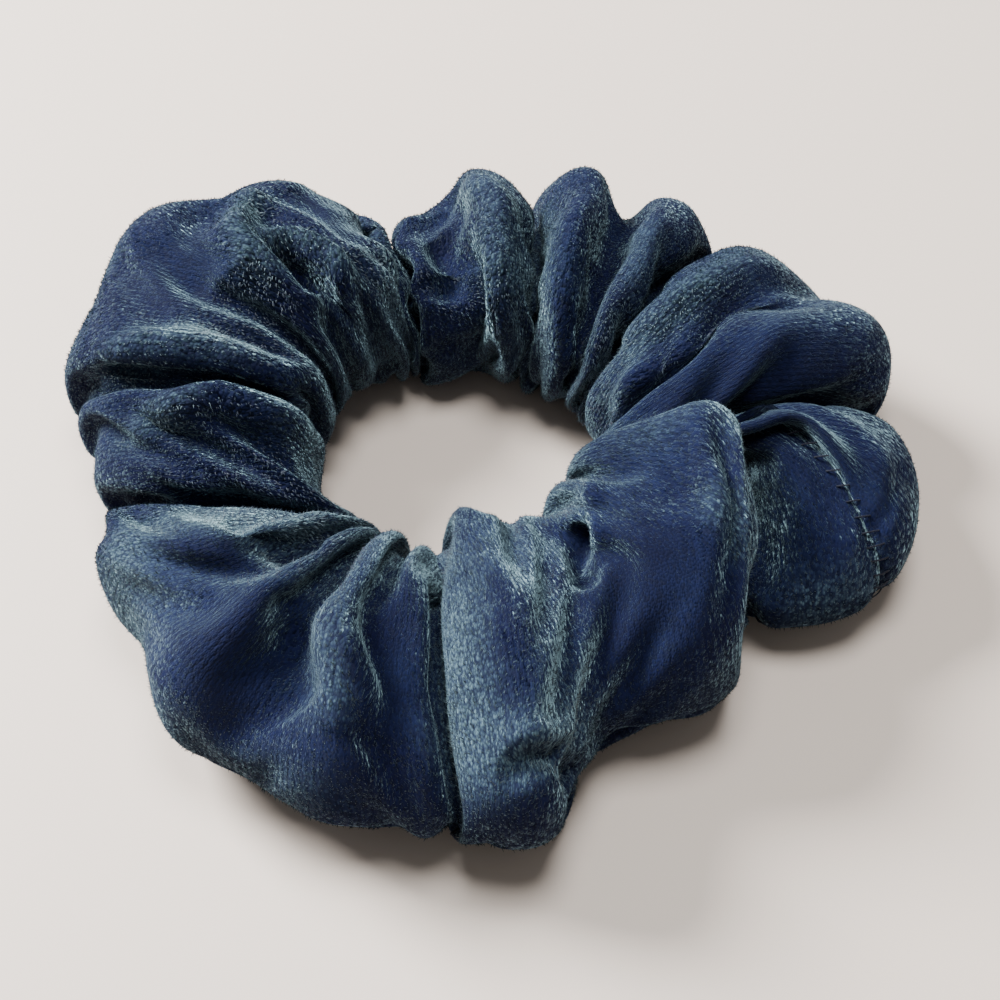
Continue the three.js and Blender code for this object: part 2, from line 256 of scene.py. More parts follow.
def finer(points, axis):
    """Twice the points along one axis, on smooth curves through the old ones."""
    before, after = np.roll(points, 1, axis), np.roll(points, -1, axis)
    middle = (9 * (points + after) - before - np.roll(points, -2, axis)) / 16
    shape = list(points.shape)
    shape[axis] *= 2
    return np.stack([points, middle], axis=axis + 1).reshape(shape)


def smoothed(points, share, rounds):
    """Takes out bumps of one cell without shrinking the rest."""
    for _ in range(rounds):
        for amount in (share, -1.04 * share):
            mean = sum(np.roll(points, s, a) for s in (1, -1) for a in (0, 1)) / 4
            points = points + amount * (mean - points)
    return points


def drawn(points, lines):
    """How strongly each point of the cloth is touched by lines drawn in plan."""
    total = np.zeros(points.shape[:2])
    for _, line, amount, width in lines:
        way = np.array([[r * math.cos(math.radians(a)), r * math.sin(math.radians(a))] for a, r in line])
        nearest = np.full(points.shape[:2], 1e9)
        share = np.zeros(points.shape[:2])
        for i, (start, end) in enumerate(zip(way[:-1], way[1:])):
            span = end - start
            t = np.clip(((points[..., :2] - start) @ span) / (span @ span), 0, 1)
            gap = np.linalg.norm(points[..., :2] - start - t[..., None] * span, axis=-1)
            share = np.where(gap < nearest, (i + t) / (len(way) - 1), share)
            nearest = np.minimum(nearest, gap)
        taper = 1 - np.abs(2 * share - 1) ** 4
        total += amount * taper * np.exp(-((nearest / width) ** 2))
    return total


def creased(points):
    """The cloth with its smaller creases pressed into its upper side."""
    facing = normals(points)
    upper = np.clip((facing[..., 2] + 0.25) / 0.5, 0, 1) * np.clip((points[..., 2] - 4) / 4, 0, 1)
    return points + facing * (drawn(points, CREASES) * upper)[..., None]


# ---------------------------------------------------------------- settling
def normals(points):
    """The outward direction at each point of the closed tube."""
    along = np.roll(points, -1, 0) - np.roll(points, 1, 0)
    across = np.roll(points, -1, 1) - np.roll(points, 1, 1)
    n = np.cross(along, across)
    return n / (np.linalg.norm(n, axis=-1, keepdims=True) + 1e-9)


def project(a, b, rest, stiffness, push_only=False):
    """Moves two sets of points so that each pair is nearer its rest distance. Returns their new places."""
    gap = b - a
    length = np.sqrt((gap * gap).sum(-1)) + 1e-9
    error = length - rest
    if push_only:
        error = np.minimum(error, 0)
    shift = gap * (0.5 * stiffness * error / length)[..., None]
    return a + shift, b - shift


def stretch_along(points, axis, rest, stiffness):
    """Every edge of the grid along one axis, in two sets that share no point."""
    p = np.moveaxis(points, axis, 0)
    r = np.moveaxis(rest, axis, 0)
    p[0::2], p[1::2] = project(p[0::2], p[1::2], r[0::2], stiffness)
    second, first = project(p[1::2], np.roll(p[0::2], -1, 0), r[1::2], stiffness)
    p[1::2] = second
    p[0::2] = np.roll(first, 1, 0)


def shear_along(points, slant, rest, stiffness):
    """Every diagonal of the grid that leans one way, in two sets."""
    for start in (0, 1):
        a = points[start::2]
        b = points[1::2] if start == 0 else np.roll(points[0::2], -1, 0)
        b = np.roll(b, -slant, 1)
        a, b = project(a, b, rest[start::2], stiffness)
        b = np.roll(b, slant, 1)
        points[start::2] = a
        if start == 0:
            points[1::2] = b
        else:
            points[0::2] = np.roll(b, 1, 0)


def bend_along(points, axis, reach, least, stiffness):
    """Keeps points that are reach cells apart from folding nearer than least."""
    p = np.moveaxis(points, axis, 0)
    n = p.shape[0]
    q = p.reshape(n // (2 * reach), 2 * reach, *p.shape[1:])
    r = np.moveaxis(least, axis, 0).reshape(n // (2 * reach), 2 * reach, -1)
    q[:, :reach], q[:, reach:] = project(q[:, :reach], q[:, reach:], r[:, :reach], stiffness, True)
    a, b = project(q[:, reach:], np.roll(q[:, :reach], -1, 0), r[:, reach:], stiffness, True)
    q[:, reach:] = a
    q[:, :reach] = np.roll(b, 1, 0)
    p[...] = q.reshape(p.shape)


def near_pairs(points, reach, skip=3):
    """Pairs of grid points nearer than reach that are not neighbours in the cloth."""
    n, m, _ = points.shape
    flat = points.reshape(-1, 3)
    cell = np.floor(flat / reach).astype(np.int64) + 512
    key = (cell[:, 0] * 1024 + cell[:, 1]) * 1024 + cell[:, 2]
    order = np.argsort(key, kind="stable")
    sorted_key = key[order]
    first, second = [], []
    for dx in (-1, 0, 1):
        for dy in (-1, 0, 1):
            for dz in (-1, 0, 1):
                offset = (dx * 1024 + dy) * 1024 + dz
                if offset < 0:
                    continue
                low = np.searchsorted(sorted_key, sorted_key + offset, "left")
                high = np.searchsorted(sorted_key, sorted_key + offset, "right")
                count = high - low
                a = np.repeat(np.arange(len(order)), count)
                b = np.arange(count.sum()) - np.repeat(np.cumsum(count) - count, count) + np.repeat(low, count)
                a, b = order[a], order[b]
                if offset == 0:
                    keep = a < b
                    a, b = a[keep], b[keep]
                du = np.abs(a // m - b // m)
                dv = np.abs(a % m - b % m)
                far = (np.minimum(du, n - du) > skip) | (np.minimum(dv, m - dv) > skip)
                gap = flat[a] - flat[b]
                far &= (gap * gap).sum(1) < reach * reach
                first.append(a[far])
                second.append(b[far])
    return np.concatenate(first), np.concatenate(second)


def part_layers(points, facing, pairs, least):
    """Moves the pairs apart until layers of cloth are least apart. Layers that face each other part squarely."""
    a, b = pairs
    if not len(a):
        return
    flat = points.reshape(-1, 3)
    normal = facing.reshape(-1, 3)
    gap = flat[b] - flat[a]
    between = normal[a] - normal[b]
    between /= np.linalg.norm(between, axis=1, keepdims=True) + 1e-9
    faced = (normal[a] * normal[b]).sum(1) < -0.2
    straight = (gap * between).sum(1)
    length = np.sqrt((gap * gap).sum(1)) + 1e-9
    aside = np.sqrt(np.maximum(length ** 2 - straight ** 2, 0))
    square = faced & (aside < 0.9 * least) & (np.abs(straight) < least)
    loose = ~faced & (length < least)
    side = np.where(straight < 0, -1.0, 1.0)
    push = np.where(square, (least - np.abs(straight)) * side, 0)[:, None] * between
    push += np.where(loose, (least - length) / length, 0)[:, None] * gap
    used = (square | loose).astype(float)
    count = np.bincount(a, used, len(flat)) + np.bincount(b, used, len(flat))
    for c in range(3):
        move = np.bincount(b, push[:, c], len(flat)) - np.bincount(a, push[:, c], len(flat))
        flat[:, c] += 0.6 * move / np.maximum(count, 1)


def settle(start, steps, puff=0.012, slack_along=0.38, slack_round=0.3, hold=0.35):
    """Lets the cloth find its own small folds, while its large ones stay where they are."""
    n, m, _ = start.shape
    edge_u = np.linalg.norm(np.roll(start, -1, 0) - start, axis=-1)
    edge_v = np.linalg.norm(np.roll(start, -1, 1) - start, axis=-1)
    cell_u = cloth_length / n
    cell_v = CLOTH_WIDTH / m
    rest_u = np.where(edge_u < cell_u, edge_u + slack_along * (cell_u - edge_u), np.minimum(edge_u, 1.6 * cell_u))
    rest_v = np.where(edge_v < cell_v, edge_v + slack_round * (cell_v - edge_v), edge_v)
    rest_d = np.sqrt(rest_u ** 2 + rest_v ** 2)
    kept_u = np.abs(np.fft.fftfreq(n, 1 / n)) <= 26
    kept_v = np.fft.rfftfreq(m, 1 / m) <= 5
    kept = (kept_u[:, None] & kept_v[None, :])[..., None]
    u = np.arange(n)[:, None] / n
    v = np.arange(m)[None, :] / m
    ripple = np.zeros((n, m))
    for _ in range(24):
        waves = rng.integers(34, 72)
        ripple += np.sin(2 * math.pi * (waves * u + rng.integers(-1, 2) * v) + rng.uniform(0, 6.28)) / 24 ** 0.5
    points = start + normals(start) * (0.45 * ripple)[..., None]
    before = points.copy()
    pairs = None
    for step in range(steps):
        moved = (points - before) * 0.85
        before = points.copy()
        points = points + moved
        facing = normals(points)
        points += facing * puff
        points[..., 2] -= 0.01
        off = np.fft.rfft2(start - points, axes=(0, 1)) * kept
        points += hold * np.fft.irfft2(off, s=(n, m), axes=(0, 1))
        if step % 3 == 0:
            pairs = near_pairs(points, CLOTH_GAP + 0.6)
        for _ in range(4):
            stretch_along(points, 0, rest_u, 0.9)
            stretch_along(points, 1, rest_v, 0.9)
            shear_along(points, 1, rest_d, 0.15)
            shear_along(points, -1, np.roll(rest_d, 1, 1), 0.15)
            bend_along(points, 0, 2, 1.9 * rest_u, 0.35)
            bend_along(points, 1, 2, 1.92 * rest_v, 0.35)
            bend_along(points, 0, 4, 3.4 * rest_u, 0.15)
            bend_along(points, 1, 4, 3.5 * rest_v, 0.15)
            part_layers(points, facing, pairs, CLOTH_GAP)
        points[..., 2] = np.maximum(points[..., 2], 0.0)
    return points


# ---------------------------------------------------------------- the sewn sheet and its pile
def placed(name, data):
    """A new object of that data, put in the scene."""
    obj = bpy.data.objects.new(name, data)
    bpy.context.collection.objects.link(obj)
    return obj


def sewn_sheet(points):
    """The settled tube as the real sheet: cut along its two seams, with its raw edges turned in.

    Returns the points and, in millimetres of cloth, where each one is: along the ring and round the tube."""
    n, m, _ = points.shape
    outer = points[:, 0, :]
    angle = np.degrees(np.arctan2(outer[:, 1], outer[:, 0]))
    first = int(np.argmin(np.abs(angle - CLOSING_ANGLE)))
    facing = normals(points)
    points = np.roll(points, (-first, -round(SEAM_V * m)), (0, 1))
    facing = np.roll(facing, (-first, -round(SEAM_V * m)), (0, 1))
    points = np.pad(points, ((0, 1), (0, 1), (0, 0)), mode="wrap")
    facing = np.pad(facing, ((0, 1), (0, 1), (0, 0)), mode="wrap")
    along = np.arange(n + 1) * cloth_length / n
    around = np.arange(m + 1) * CLOTH_WIDTH / m
    for axis, place in ((0, along), (1, around)):
        from_seam = np.minimum(place, place[-1] - place)
        sink = SEAM_DEPTH * np.exp(-((from_seam / SEAM_WIDTH) ** 2))
        points = points - facing * (sink[:, None, None] if axis == 0 else sink[None, :, None])
        steps = np.arange(1, ALLOWANCE_STEPS + 1)
        depth = steps * ALLOWANCE / ALLOWANCE_STEPS
        for end, order in ((0, -1), (-1, 1)):
            edge = np.take(points, [end], axis)
            inward = -np.take(facing, [end], axis)
            inside = np.take(points, [1 if end == 0 else -2], axis) - edge
            inside /= np.linalg.norm(inside, axis=-1, keepdims=True) + 1e-9
            rows = [edge + inward * d + inside * min(d, 0.5) for d in depth[::order]]
            fold = np.concatenate(rows, axis)
            lean = np.repeat(np.take(facing, [end], axis), len(steps), axis)
            points = np.concatenate([fold, points] if end == 0 else [points, fold], axis)
            facing = np.concatenate([lean, facing] if end == 0 else [facing, lean], axis)
        place = np.concatenate([place[0] - depth[::-1], place, place[-1] + depth])
        if axis == 0:
            along = place
        else:
            around = place
    return points, along, around


def sheet_mesh(name, points, along, around):
    """A mesh of the open sheet. Its UV map "cloth" is in centimetres of cloth."""
    n, m, _ = points.shape
    xyz = points.reshape(-1, 3) + np.array([*HOLE, 0])
    index = np.arange(n * m).reshape(n, m)
    quads = np.stack([index[:-1, :-1], index[1:, :-1], index[1:, 1:], index[:-1, 1:]], -1).reshape(-1, 4)
    mesh = bpy.data.meshes.new(name)
    mesh.vertices.add(n * m)
    mesh.vertices.foreach_set("co", (xyz * MM).astype(np.float32).ravel())
    mesh.loops.add(quads.size)
    mesh.loops.foreach_set("vertex_index", quads.astype(np.int32).ravel())
    mesh.polygons.add(len(quads))
    mesh.polygons.foreach_set("loop_start", np.arange(0, quads.size, 4, dtype=np.int32))
    mesh.update(calc_edges=True)
    mesh.polygons.foreach_set("use_smooth", np.ones(len(quads), bool))
    place = np.stack(np.meshgrid(along, around, indexing="ij"), -1).reshape(-1, 2) / 10
    mesh.uv_layers.new(name="cloth").data.foreach_set("uv", place[quads.ravel()].astype(np.float32).ravel())
    mesh.validate()
    return placed(name, mesh)


def pile_lean(points, along, around):
    """Which way the pile leans: mostly one way round the tube, turned about in waves by wear."""
    n, m, _ = points.shape
    across = np.gradient(points, axis=1)
    across /= np.linalg.norm(across, axis=-1, keepdims=True) + 1e-9
    ahead = np.gradient(points, axis=0)
    ahead /= np.linalg.norm(ahead, axis=-1, keepdims=True) + 1e-9
    s = along[:, None] / cloth_length
    t = around[None, :] / CLOTH_WIDTH
    turn = np.zeros((n, m))
    for waves, turns, phase in BRUSHING:
        turn += np.sin(2 * math.pi * (waves * s + turns * t) + phase) / len(BRUSHING) ** 0.5
    return np.cos(0.9 * turn)[..., None] * across + np.sin(0.9 * turn)[..., None] * ahead


def pile_tufts(name, points, facing, leaning, along, around, brushing_and_painted_sheen):
    """The pile where it catches the light: short tufts in rows along the ribs, leaning as the pile does."""
    n, m, _ = points.shape
    rib = rng.integers(0, int(cloth_length / RIB_PITCH), TUFTS)
    at_u = (rib + 0.5 + rng.normal(0, 0.16, TUFTS)) * RIB_PITCH
    at_v = rng.uniform(0, CLOTH_WIDTH, TUFTS)
    i = np.interp(at_u, along, np.arange(n))
    j = np.interp(at_v, around, np.arange(m))
    i0, j0 = np.minimum(i.astype(int), n - 2), np.minimum(j.astype(int), m - 2)
    fi, fj = (i - i0)[:, None], (j - j0)[:, None]

    def at(grid):
        low = grid[i0, j0] * (1 - fi) + grid[i0 + 1, j0] * fi
        high = grid[i0, j0 + 1] * (1 - fi) + grid[i0 + 1, j0 + 1] * fi
        return low * (1 - fj) + high * fj

    place, up, lean = at(points), at(facing), at(leaning)
    # The patches' field: stands the tufts up or lays them down, and carries the painted sheen and painted shade on
    # to the tufts' colour.
    raised_and_painted_sheen = at(brushing_and_painted_sheen[..., None])
    turn = rng.normal(0, 0.35, TUFTS)[:, None]
    aside = np.cross(up, lean)
    lean = lean * np.cos(turn) + aside * np.sin(turn)
    aside = np.cross(up, lean)
    length = rng.uniform(0.50, 0.85, TUFTS)[:, None] * (1 + 0.45 * np.minimum(raised_and_painted_sheen, 0))
    half = rng.uniform(0.06, 0.11, TUFTS)[:, None]
    stand = np.clip(rng.uniform(0.30, 0.70, TUFTS)[:, None] + 0.25 * raised_and_painted_sheen, 0.1, 0.9)
    base = place - up * 0.15
    tip = base + length * (up * stand + lean * np.sqrt(1 - stand ** 2))
    corners = np.stack([base - aside * half, base + aside * half, tip], 1).reshape(-1, 3)
    corners[:, 2] = np.maximum(corners[:, 2], 0.02)
    uv = np.repeat(np.stack([at_u, at_v], 1) / 10, 3, axis=0)
    return sheet_of_triangles(name, corners, uv, np.repeat(raised_and_painted_sheen, 3))


def sheet_of_triangles(name, corners, uv, brushing_and_painted_sheen):
    """A mesh of loose triangles."""
    mesh = bpy.data.meshes.new(name)
    mesh.vertices.add(len(corners))
    mesh.vertices.foreach_set("co", ((corners + np.array([*HOLE, 0])) * MM).astype(np.float32).ravel())
    mesh.loops.add(len(corners))
    mesh.loops.foreach_set("vertex_index", np.arange(len(corners), dtype=np.int32))
    mesh.polygons.add(len(corners) // 3)
    mesh.polygons.foreach_set("loop_start", np.arange(0, len(corners), 3, dtype=np.int32))
    mesh.update(calc_edges=True)
    mesh.uv_layers.new(name="cloth").data.foreach_set("uv", uv.astype(np.float32).ravel())
    # The patches of painted sheen and painted shade, for the tufts' colour.
    mesh.attributes.new("brushing_and_painted_sheen", "FLOAT", "POINT").data.foreach_set("value", brushing_and_painted_sheen.astype(np.float32))
    return placed(name, mesh)


# ---------------------------------------------------------------- elastic and stitches
def swept(name, paths, sections):
    """One mesh of solid rods, each with its own corner offsets along it: (n, k, 3)."""
    verts, faces, uvs, base = [], [], [], 0
    for path, offsets in zip(paths, sections):
        rings = path[:, None, :] + offsets
        n, k, _ = rings.shape
        verts.append(rings.reshape(-1, 3))
        run = np.concatenate([[0], np.cumsum(np.linalg.norm(np.diff(path, axis=0), axis=1))]) / 10
        index = base + np.arange(n * k).reshape(n, k)
        for i in range(n - 1):
            for c in range(k):
                d = (c + 1) % k
                faces.append((index[i, c], index[i, d], index[i + 1, d], index[i + 1, c]))
                corners = [(i, c), (i, c + 1), (i + 1, c + 1), (i + 1, c)]
                uvs.append([(run[a], b / k) for a, b in corners])
        for ring, ends in ((index[0][::-1], run[0]), (index[-1], run[-1])):
            faces.append(tuple(ring))
            uvs.append([(ends, c / k) for c in range(k)])
        base += n * k
    mesh = bpy.data.meshes.new(name)
    xyz = np.concatenate(verts) + np.array([*HOLE, 0])
    xyz[:, 2] = np.maximum(xyz[:, 2], 0.02)
    mesh.from_pydata((xyz * MM).tolist(), [], [[int(v) for v in f] for f in faces])
    places = np.array([place for face_uvs in uvs for place in face_uvs], np.float32)
    mesh.uv_layers.new(name="cloth").data.foreach_set("uv", places.ravel())
    mesh.polygons.foreach_set("use_smooth", np.ones(len(mesh.polygons), bool))
    return placed(name, mesh)


def round_section(path, radius, sides=8):
    """Corner offsets for a round thread along a path."""
    along_path = np.gradient(path, axis=0)
    along_path /= np.linalg.norm(along_path, axis=1, keepdims=True) + 1e-9
    side = np.cross(along_path, np.array([0.31, 0.17, 0.93]))
    side /= np.linalg.norm(side, axis=1, keepdims=True) + 1e-9
    other = np.cross(along_path, side)
    turn = np.arange(sides) * 2 * math.pi / sides
    return radius * (np.cos(turn)[None, :, None] * side[:, None] + np.sin(turn)[None, :, None] * other[:, None])


def closing_stitches(points, facing):
    """Small whip stitches across the closing seam, all round the tube."""
    first = ALLOWANCE_STEPS
    columns = range(first + 2, points.shape[1] - first - 4, 3)
    share = np.linspace(0, 1, 9)[:, None]
    paths = []
    for j in columns:
        a, b = points[first + 2, j], points[-1 - first - 2, j + 2]
        up = facing[first + 2, j] + facing[-1 - first - 2, j + 2]
        up /= np.linalg.norm(up) + 1e-9
        arch = np.sin(share * math.pi) ** 0.5
        paths.append(a * (1 - share) + b * share + up * (arch * 0.5 - 0.45))
    return paths


def seam_line(points, facing):
    """The long seam's lockstitches, inside the tube where its two raw edges are pressed together."""
    column = ALLOWANCE_STEPS
    edge, up = points[:, column], facing[:, column]
    sway = 0.25 * np.sin(np.arange(len(edge)) * math.pi / 2)[:, None]
    side = np.cross(np.gradient(edge, axis=0), up)
    side /= np.linalg.norm(side, axis=1, keepdims=True) + 1e-9
    inner = edge - up * 1.1 + side * sway
    return inner[ALLOWANCE_STEPS + 4:-ALLOWANCE_STEPS - 4]


def cloth_top(points, radius, bins=72):
    """Height of the lowest cloth that lies over a circle of that radius, for each step round the ring."""
    facing = normals(points)
    angle = np.arctan2(points[..., 1], points[..., 0]) % (2 * math.pi)
    over = (np.abs(np.hypot(points[..., 0], points[..., 1]) - radius) < 3) & (facing[..., 2] > 0.1)
    place = (angle[over] / (2 * math.pi) * bins).astype(int) % bins
    top = np.full(bins, 99.0)
    np.minimum.at(top, place, points[..., 2][over])
    return np.minimum.reduce([np.roll(top, s) for s in (-1, 0, 1)])


def elastic_path(points):
    """The elastic's centreline: one turn and a lap, dipping where the cloth over it is low."""
    top = cloth_top(points, ELASTIC_RADIUS)
    turn = np.radians(np.arange(0, 360 + LAP_LENGTH + 1, 2.0))
    angle = math.radians(LAP_START) + turn
    height = np.interp(angle % (2 * math.pi), np.linspace(0, 2 * math.pi, len(top) + 1), np.append(top, top[0]))
    height = np.clip(height - ELASTIC_WIDTH / 2 - 1.2, ELASTIC_WIDTH / 2 + 0.4, ELASTIC_HEIGHT)
    for _ in range(12):
        height[1:-1] = (height[:-2] + 2 * height[1:-1] + height[2:]) / 4
    over = np.clip((np.degrees(turn) - 350) / 10, 0, 1)
    radius = ELASTIC_RADIUS + (ELASTIC_THICKNESS + 0.25) * over * over * (3 - 2 * over)
    return np.stack([radius * np.cos(angle), radius * np.sin(angle), height], 1)


def tape_section(path, width, thickness):
    """Corner offsets for a flat tape standing on its edge round the ring, with rounded edges."""
    outward = path * np.array([1, 1, 0])
    outward /= np.linalg.norm(outward, axis=1, keepdims=True)
    turn = np.arange(16) * 2 * math.pi / 16
    across = np.sign(np.cos(turn)) * np.abs(np.cos(turn)) ** 0.6 * thickness / 2
    tall = np.sign(np.sin(turn)) * np.abs(np.sin(turn)) ** 0.35 * width / 2
    return across[None, :, None] * outward[:, None] + tall[None, :, None] * np.array([0, 0, 1.0])


def lap_zigzag(path):
    """The zigzag that locks the elastic's lap, on its outer face."""
    lap = path[np.arange(len(path)) * 2 >= 360]
    share = np.linspace(0.15, 0.85, LAP_LEGS * 6)
    at = np.stack([np.interp(share * (len(lap) - 1), np.arange(len(lap)), lap[:, c]) for c in range(3)], 1)
    outward = at * np.array([1, 1, 0])
    outward /= np.linalg.norm(outward, axis=1, keepdims=True)
    swing = np.abs(((np.arange(len(at)) / 6) % 2) - 1) * 2 - 1
    at = at + outward * (ELASTIC_THICKNESS / 2 + 0.12)
    at[:, 2] += swing * (ELASTIC_WIDTH / 2 - 1)
    return at


# ---------------------------------------------------------------- materials
class Nodes:
    """Shader nodes by short calls: inputs are numbers or other nodes' outputs."""

    def __init__(self, name):
        self.material = bpy.data.materials.new(name)
        self.material.use_nodes = True
        self.tree = self.material.node_tree
        self.shader = self.tree.nodes["Principled BSDF"]

    def set(self, node, key, value):
        socket = node.inputs[key]
        if isinstance(value, bpy.types.NodeSocket):
            self.tree.links.new(value, socket)
        else:
            socket.default_value = value

    def node(self, kind, inputs=(), out=0, **settings):
        made = self.tree.nodes.new(kind)
        for key, value in settings.items():
            setattr(made, key, value)
        for key, value in dict(inputs).items():
            self.set(made, key, value)
        return made.outputs[out]

    def math(self, how, *values):
        return self.node("ShaderNodeMath", enumerate(values), operation=how)

    def vector(self, how, *values):
        return self.node("ShaderNodeVectorMath", enumerate(values), operation=how)

    def scaled(self, vector, amount):
        return self.node("ShaderNodeVectorMath", {0: vector, "Scale": amount}, operation="SCALE")

    def noise(self, at, scale, detail):
        return self.node("ShaderNodeTexNoise", {"Vector": at, "Scale": scale, "Detail": detail})

    def span(self, value, low, high, to_low, to_high):
        inputs = {"Value": value, "From Min": low, "From Max": high, "To Min": to_low, "To Max": to_high}
        return self.node("ShaderNodeMapRange", inputs)

    def blend(self, share, a, b):
        made = self.tree.nodes.new("ShaderNodeMix")
        made.data_type = "RGBA"
        self.set(made, 0, share)
        self.set(made, 6, a)
        self.set(made, 7, b)
        return made.outputs[2]


def velvet_material():
    """Ribs of tufts. Each tuft leans its own way, and the pile leans in patches; there the colour is painted pale as
    painted sheen, or darker as painted shade.
    """
    k = Nodes("velvet")
    cloth_uv = k.node("ShaderNodeUVMap", uv_map="cloth")
    ribs_at = k.vector("MULTIPLY", cloth_uv, (10 / RIB_PITCH, 10 / TUFT_LENGTH, 1))
    tufts = k.tree.nodes.new("ShaderNodeTexVoronoi")
    tufts.voronoi_dimensions = "2D"
    for key, value in {"Vector": ribs_at, "Scale": 3.2, "Randomness": 1.0}.items():
        k.set(tufts, key, value)
    own = k.node("ShaderNodeSeparateColor", {"Color": tufts.outputs["Color"]})
    u = k.node("ShaderNodeSeparateXYZ", {"Vector": ribs_at})
    rib = k.math("SINE", k.math("MULTIPLY", u, 2 * math.pi))
    height = k.math("ADD", k.math("MULTIPLY", rib, 0.2), k.math("MULTIPLY", tufts.outputs["Distance"], -0.7))
    height = k.math("ADD", height, k.math("MULTIPLY", own, 0.7))
    bump = k.node("ShaderNodeBump", {"Height": height, "Strength": 0.6, "Distance": 0.00028})
    crushed_and_sheen_noise = k.noise(cloth_uv, 0.95, 3.0)
    fine = k.noise(cloth_uv, 4.2, 2.0)
    pile = k.node("ShaderNodeAttribute", attribute_name="pile", out=1)
    brushing_and_painted_sheen = k.node("ShaderNodeAttribute", attribute_name="brushing_and_painted_sheen", out=2)
    amount = k.math("ADD", k.span(crushed_and_sheen_noise, 0.3, 0.7, 0.05, 0.5), k.span(fine, 0.3, 0.7, -0.2, 0.2))
    amount = k.math("ADD", amount, k.math("MULTIPLY", brushing_and_painted_sheen, 0.15))
    calm = k.span(brushing_and_painted_sheen, -1.0, 0.0, 0.12, 1.0)
    lean = k.scaled(pile, k.math("MULTIPLY", amount, calm))
    scatter = k.scaled(k.vector("SUBTRACT", tufts.outputs["Color"], (0.5, 0.5, 0.5)), k.math("MULTIPLY", calm, 0.75))
    normal = k.vector("NORMALIZE", k.vector("ADD", k.vector("ADD", bump, lean), scatter))
    color = k.blend(k.span(crushed_and_sheen_noise, 0.35, 0.7, 0, 1), (0.0025, 0.0040, 0.023, 1), (0.0042, 0.0078, 0.034, 1))
    # Painted sheen: where the patches and the crushed noise are positive, the colour is blended towards a pale
    # teal-grey, speckled tuft by tuft.
    rounded = k.span(tufts.outputs["Distance"], 0.0, 0.7, 1.25, 0.3)
    speckle = k.math("MULTIPLY", k.math("ADD", k.math("POWER", own, 2.0), 0.22), rounded)
    speckle = k.math("MULTIPLY", speckle, k.span(rib, -1.0, 1.0, 0.7, 1.15))
    lit = k.math("ADD", brushing_and_painted_sheen, k.span(crushed_and_sheen_noise, 0.25, 0.75, -0.55, 0.55))
    lit = k.math("MULTIPLY", k.math("MAXIMUM", lit, 0.0), k.math("ADD", k.math("MAXIMUM", brushing_and_painted_sheen, 0.0), 0.25))
    lit = k.math("MINIMUM", lit, 1.2)
    color = k.blend(k.math("MULTIPLY", lit, speckle), color, PAINTED_SHEEN_PILE)
    # Painted shade: where the patches are negative the colour is darkened; each tuft's own random tone is multiplied
    # in as well.
    painted_shade = k.span(brushing_and_painted_sheen, -1.0, 0.0, 0.8, 1.0)
    tone_and_painted_shade = k.math("MULTIPLY", k.span(own, 0.0, 1.0, 0.7, 1.3), painted_shade)
    color = k.vector("MULTIPLY", color, k.node("ShaderNodeCombineXYZ", {0: tone_and_painted_shade, 1: tone_and_painted_shade, 2: tone_and_painted_shade}))
    k.set(k.shader, "Base Color", color)
    k.set(k.shader, "Roughness", 0.85)
    k.set(k.shader, "Specular IOR Level", 0.1)
    k.set(k.shader, "Sheen Weight", 0.52)
    k.set(k.shader, "Sheen Roughness", 0.33)
    k.set(k.shader, "Sheen Tint", (0.47, 0.74, 0.82, 1))
    k.set(k.shader, "Normal", normal)
    return k.material


def tuft_material():
    """The same yarn seen from its side: tuft by tuft lighter or darker, and painted pale as painted sheen in the
    positive patches.
    """
    k = Nodes("velvet_pile")
    cloth_uv = k.node("ShaderNodeUVMap", uv_map="cloth")
    own = k.node("ShaderNodeTexWhiteNoise", {"Vector": cloth_uv}, noise_dimensions="2D")
    brushing_and_painted_sheen = k.node("ShaderNodeAttribute", attribute_name="brushing_and_painted_sheen", out=2)
    color = k.blend(k.math("POWER", own, 3.0), (0.004, 0.008, 0.022, 1), (0.032, 0.054, 0.074, 1))
    # Painted sheen: tufts in the positive patches are painted pale.
    lit = k.math("MULTIPLY", k.math("MAXIMUM", brushing_and_painted_sheen, 0.0), k.span(own, 0.2, 1.0, 0.1, 1.0))
    color = k.blend(lit, color, PAINTED_SHEEN_TUFT)
    k.set(k.shader, "Base Color", color)
    k.set(k.shader, "Roughness", 0.6)
    k.set(k.shader, "Specular IOR Level", 0.2)
    k.set(k.shader, "Sheen Weight", 0.5)
    k.set(k.shader, "Sheen Roughness", 0.4)
    k.set(k.shader, "Sheen Tint", (0.55, 0.78, 0.86, 1))
    return k.material


def thread_material(name, color):
    k = Nodes(name)
    uv = k.node("ShaderNodeUVMap", uv_map="cloth")
    at = k.vector("MULTIPLY", uv, (14, 2, 1))
    twist = k.node("ShaderNodeTexWave", {"Vector": at, "Scale": 3.0}, out=1, bands_direction="DIAGONAL")
    k.set(k.shader, "Normal", k.node("ShaderNodeBump", {"Height": twist, "Strength": 0.5, "Distance": 0.00006}))
    k.set(k.shader, "Base Color", k.blend(twist, tuple(0.6 * c for c in color) + (1,), color + (1,)))
    k.set(k.shader, "Roughness", 0.7)
    k.set(k.shader, "Specular IOR Level", 0.2)
    k.set(k.shader, "Sheen Weight", 0.1)
    return k.material


